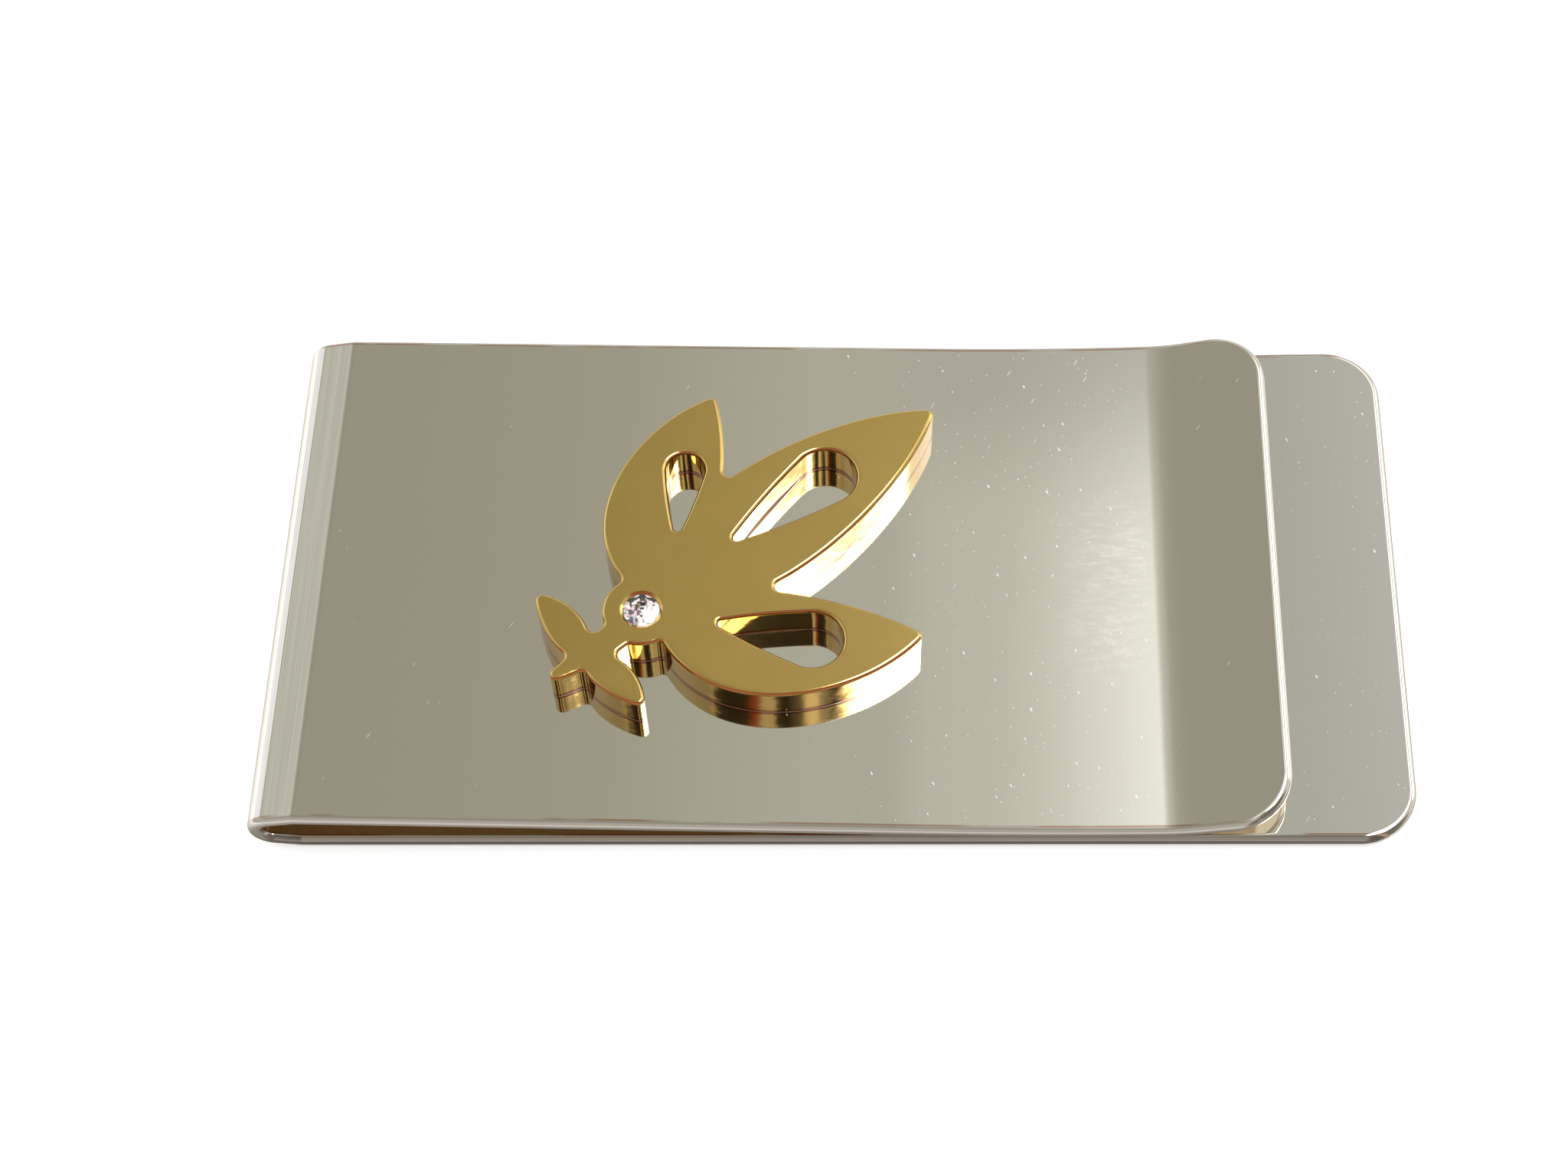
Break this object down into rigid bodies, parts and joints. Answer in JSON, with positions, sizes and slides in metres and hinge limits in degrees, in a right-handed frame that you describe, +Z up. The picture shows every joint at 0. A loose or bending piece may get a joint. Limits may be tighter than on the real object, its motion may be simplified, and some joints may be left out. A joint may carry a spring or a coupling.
{
  "type": "money clip",
  "caption": "Folded spring-strip money clip: a long back leaf, a shorter front leaf with a raised lip, and a pierced leaf-sprig emblem set with a small round stone.",
  "frame": {"origin": "middle of the back leaf's underside, which is the bottom centre of the whole clip", "axes": "+X from the bend to the open mouth, +Y across the strip, +Z up from the back leaf to the emblem"},
  "size_m": [0.0508, 0.0254, 0.004],
  "materials": {
    "strip": "mirror-polished nickel plate with fine handling scratches",
    "gilt": "gold-tone plate, satin on the face and polished on the walls",
    "glue": "clear epoxy, slightly yellow",
    "crystal": "clear faceted glass",
    "foil": "silvered backing"
  },
  "bodies": {
    "back": {"back_leaf": "strip", "spring_bend": "strip"},
    "front": {"front_leaf": "strip", "emblem_bond": "glue", "emblem": "gilt", "stone_cement": "glue", "stone_foil": "foil", "stone": "crystal"}
  },
  "joints": [
    {"name": "leaf_flex", "type": "hinge", "parent": "back", "child": "front", "pos_m": [-0.0242, 0, 0.0014], "axis": [0, -1, 0], "range_deg": [0, 8], "stiffness_Nm_per_rad": 2.4, "deforming": ["spring_bend"]}
  ]
}
